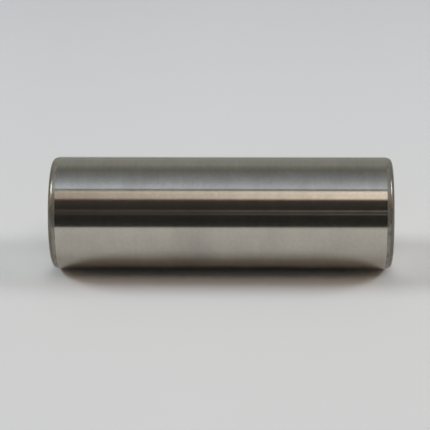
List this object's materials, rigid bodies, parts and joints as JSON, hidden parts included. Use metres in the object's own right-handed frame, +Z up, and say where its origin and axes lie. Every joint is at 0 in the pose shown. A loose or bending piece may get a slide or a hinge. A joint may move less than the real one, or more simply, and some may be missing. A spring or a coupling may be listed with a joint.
{
  "type": "crank pin",
  "caption": "Plain round crank pin, ground to one diameter, with a short lead-in and a rounded corner at each end.",
  "frame": {"origin": "centre of the lower end face, which the pin stands on", "axes": "+Z up along the pin's axis, from the lower end face to the upper one; X and Y are free, because the pin is round"},
  "size_m": [0.022, 0.022, 0.0665],
  "materials": {
    "ground_steel": "hardened and cylindrically ground bright on the diameter, dull turned finish on the lead-ins, and end faces taken as faced bright"
  },
  "bodies": {
    "root": {"crank_pin": "ground_steel"}
  },
  "joints": []
}
